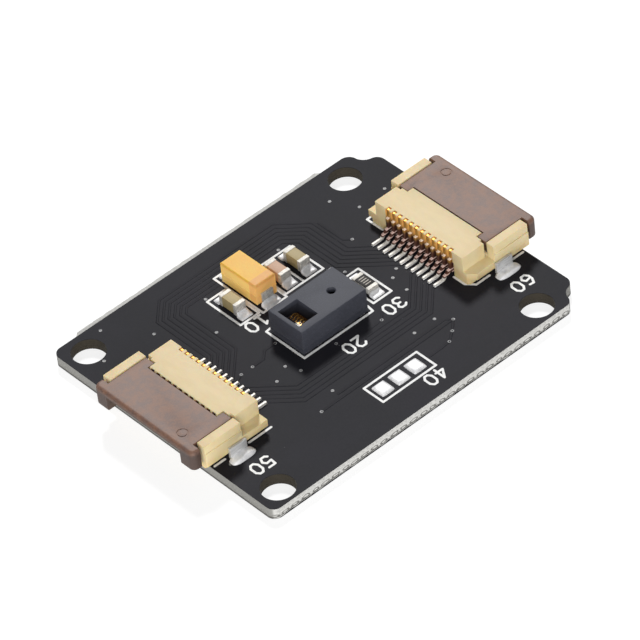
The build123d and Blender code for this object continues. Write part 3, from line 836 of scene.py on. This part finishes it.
wire = bpy.data.curves.new("tracks", "CURVE")
wire.dimensions = "3D"
wire.bevel_depth = TRACK_WIDTH / 2 * MM
wire.bevel_resolution = 2
wire.use_fill_caps = True
for route in routes:
    spline = wire.splines.new("POLY")
    spline.points.add(len(route) - 1)
    for point, (x, y) in zip(spline.points, route):
        point.co = (x * MM, y * MM, 0, 1)
tracks = bpy.data.objects.new("mask_over_tracks", wire)
scene.collection.objects.link(tracks)
only(tracks)
bpy.ops.object.convert(target="MESH")
tracks.scale = (1, 1, TRACK_RISE / (TRACK_WIDTH / 2))
tracks.location = (0, 0, BOARD_TOP)
bpy.ops.object.transform_apply(location=True, rotation=True, scale=True)
bpy.ops.object.shade_smooth()
tracks.data.materials.clear()
tracks.data.materials.append(finishes["mask"])
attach(tracks, "board")
print("tracks:", len(routes), "triangles:", triangles(tracks))

# %% [markdown]
# ## Poured solder
# Solder is a liquid when it takes its shape: it domes over a flat pad, climbs the end of a chip in a
# hollow curve, and rounds its corners. Each lump starts as a box of about the size of its packed
# solid, is subdivided into a grid, and its points are then moved to the height that one formula gives.

# %% Solder
LEAST_HEIGHT = 0.04
TAIL_RISE = Vector((0, 0, 0.03 * MM))
PUDDLE_RISE = Vector((0, 0, 0.08 * MM))
PUDDLE_SPREAD = Vector((0.14, 0.02, 0)) * MM


def lump(low, high, cuts, rise, corner, seed):
    """A box turned into a poured lump; rise(s, t) is its height from 0 to 1 over -1 to 1."""
    middle = (low + high) / 2
    size = high - low
    bpy.ops.object.select_all(action="DESELECT")
    bpy.ops.mesh.primitive_cube_add(size=1, location=middle)
    piece = bpy.context.object
    piece.scale = size
    bpy.ops.object.transform_apply(location=True, rotation=True, scale=True)
    bpy.ops.object.mode_set(mode="EDIT")
    bpy.ops.mesh.select_all(action="SELECT")
    bpy.ops.mesh.subdivide(number_cuts=cuts)
    bpy.ops.object.mode_set(mode="OBJECT")
    for vertex in piece.data.vertices:
        s = (vertex.co.x - middle.x) / (size.x / 2)
        t = (vertex.co.y - middle.y) / (size.y / 2)
        level = (vertex.co.z - low.z) / size.z
        ripple = noise.noise(Vector((s * 1.6, t * 1.6, seed * 7.3))) * 0.10
        height = max(rise(s, t) * (1 + ripple), LEAST_HEIGHT)
        vertex.co.x = middle.x + s * (1 - corner * t ** 4) * size.x / 2
        vertex.co.y = middle.y + t * (1 - corner * s ** 4) * size.y / 2
        vertex.co.z = low.z + level * height * size.z
    bpy.ops.object.shade_smooth()
    return piece


def joined(name, pieces):
    """One object from several, with its place in its mesh."""
    bpy.ops.object.select_all(action="DESELECT")
    for piece in pieces:
        piece.select_set(True)
    bpy.context.view_layer.objects.active = pieces[0]
    bpy.ops.object.join()
    pieces[0].name = name
    only(pieces[0])
    bpy.ops.object.transform_apply(location=True, rotation=True, scale=True)
    return pieces[0]


def dome(s, t):
    """Almost flat in the middle and steep at the rim."""
    return (1 - abs(s) ** 5) * (1 - abs(t) ** 5) * 0.9 + 0.10


def meniscus(side, reach):
    """Hollow curve that climbs towards the chip at t = -side and ends as a thick puddle."""
    def rise(s, t):
        away = (1 + side * t) / 2
        climb = math.exp(-away * reach)
        rim = 1 - 0.55 * abs(s) ** 8
        toe = 1 - 0.8 * max(away - 0.85, 0) / 0.15
        return (climb * 0.55 + 0.26 * toe) * rim
    return rise


def chip_joints(node, chip, grow_out, grow_side):
    """The two solder joints of a chip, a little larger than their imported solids."""
    low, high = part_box(chip)
    middle_y = (low.y + high.y) / 2
    lumps = []
    for index, (start, end) in enumerate(solids(node)):
        side = 1 if (start.y + end.y) / 2 > middle_y else -1
        start = start - Vector((grow_side, grow_out if side < 0 else 0, 0)) * MM
        end = end + Vector((grow_side, grow_out if side > 0 else 0, 0)) * MM
        lumps.append(lump(start, end, 9, meniscus(side, 5.0), 0.05, index + len(node)))
    stand_for(joined(node + "_pour", lumps), node)


for number in (1, 2, 3):
    chip_joints(f"ceramic_capacitor_{number}_solder", f"ceramic_capacitor_{number}_body", 0.05, 0.04)
chip_joints("resistor_solder", "resistor_base", 0.0, 0.04)
chip_joints("tantalum_solder", "tantalum_body", 0.0, 0.05)

pads = [lump(low, high, 11, dome, 0.05, index)
        for index, (low, high) in enumerate(solids("jumper_pads"))]
stand_for(joined("jumper_pours", pads), "jumper_pads")

for end in ("right", "left"):
    node = f"{end}_connector_contact_solder"
    toes = [lump(low, high + TAIL_RISE, 2, dome, 0.10, index)
            for index, (low, high) in enumerate(solids(node))]
    stand_for(joined(f"{end}_tail_solder", toes), node)
    node = f"{end}_connector_hold_down_solder"
    puddles = [lump(low - PUDDLE_SPREAD, high + PUDDLE_SPREAD + PUDDLE_RISE, 13, dome, 0.20, index)
               for index, (low, high) in enumerate(solids(node))]
    stand_for(joined(f"{end}_hold_down_puddles", puddles), node)

# %% [markdown]
# ## Vias
# A via is a plated hole of a few tenths of a millimetre, half closed by the mask, so only a small dull
# ring with a dimple shows. One is made from a short cylinder whose top is inset and pushed in, and
# the others are copies of it, each with its own mesh.

# %% Vias
VIA_SIDES = 14
RING_WIDTH = 0.03 * MM
DIMPLE_DEPTH = 0.012 * MM

finishes["via"] = metal_finish("dull_via_ring", rgb(118, 118, 120), rgb(176, 176, 176),
                               rough=(0.6, 0.8), grain=9.0, depth=0.01, metallic=0.6).material
low, high = solids("via_pads")[0]
bpy.ops.object.select_all(action="DESELECT")
bpy.ops.mesh.primitive_cylinder_add(vertices=VIA_SIDES, radius=(high.x - low.x) / 2,
                                    depth=high.z - low.z, location=(0, 0, (low.z + high.z) / 2))
first_via = bpy.context.object
bpy.ops.object.transform_apply(location=True, rotation=True, scale=True)
bpy.ops.object.mode_set(mode="EDIT")
select(first_via, "faces", lambda face: face.normal.z > 0.9)
bpy.ops.mesh.inset(thickness=RING_WIDTH)
bpy.ops.mesh.inset(thickness=RING_WIDTH)
bpy.ops.transform.translate(value=(0, 0, -DIMPLE_DEPTH))
bpy.ops.object.mode_set(mode="OBJECT")
bpy.ops.object.shade_smooth_by_angle(angle=math.radians(50))
via_spots = centres("via_pads")
vias = [first_via]
for spot in via_spots[1:]:
    copy = bpy.data.objects.new("via", first_via.data.copy())
    scene.collection.objects.link(copy)
    vias.append(copy)
for via, spot in zip(vias, via_spots):
    via.location = (spot.x * MM, spot.y * MM, 0)
rings = joined("via_rings", vias)
stand_for(rings, "via_pads")
rings.data.materials[0] = finishes["via"]

# %% [markdown]
# ## The board's core
# The near and far edges were snapped and left ragged, with broken fibres, while the ends were routed
# smooth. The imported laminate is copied, its walls are cut into thin bands and short lengths, and the
# points of the snapped walls are moved in and out by a noise that is drawn out along the edge.

# %% Board core
BANDS = 5
EDGE_CUTS = 150
CORNER_FROM = 11.4
RAGGED_DEPTH = 0.045

core = merged_copy("board_laminate", "woven_core")
low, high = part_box("board_laminate")
bpy.ops.object.mode_set(mode="EDIT")
for band in range(1, BANDS):
    level = low.z + (high.z - low.z) * (band / BANDS)
    bpy.ops.mesh.select_all(action="SELECT")
    bpy.ops.mesh.bisect(plane_co=(0, 0, level), plane_no=(0, 0, 1))
select(core, "faces", lambda face: abs(face.normal.z) > 0.9)
bpy.ops.mesh.quads_convert_to_tris()


def along_snapped_wall(edge):
    """Whether an edge is a long one that runs along the near or the far wall."""
    one, two = (vertex.co for vertex in edge.verts)
    on_wall = min(one.y, two.y) > high.y - 0.5 * MM or max(one.y, two.y) < low.y + 0.2 * MM
    return on_wall and abs(one.y - two.y) < 0.01 * MM and abs(one.x - two.x) > 2 * MM


select(core, "edges", along_snapped_wall)
bpy.ops.mesh.subdivide(number_cuts=EDGE_CUTS)
bpy.ops.object.mode_set(mode="OBJECT")
moved = 0
for vertex in core.data.vertices:
    x, y, z = vertex.co / MM
    near = y < low.y / MM + 0.02
    far = y > far_edge - 0.02 and abs(x) < CORNER_FROM
    if near or far:
        waves = noise.noise(Vector((x * 2.2, z * 3.0, 4.0)))
        splinters = noise.noise(Vector((x * 7.0, z * 9.0, 9.0)))
        depth = RAGGED_DEPTH * (waves + 0.6 * splinters) - RAGGED_DEPTH
        vertex.co.y += depth * MM * (1 if far else -1)
        moved += 1
only(core)
bpy.ops.object.shade_smooth_by_angle(angle=math.radians(40))
stand_for(core, "board_laminate")
print("points moved on the snapped edges:", moved)
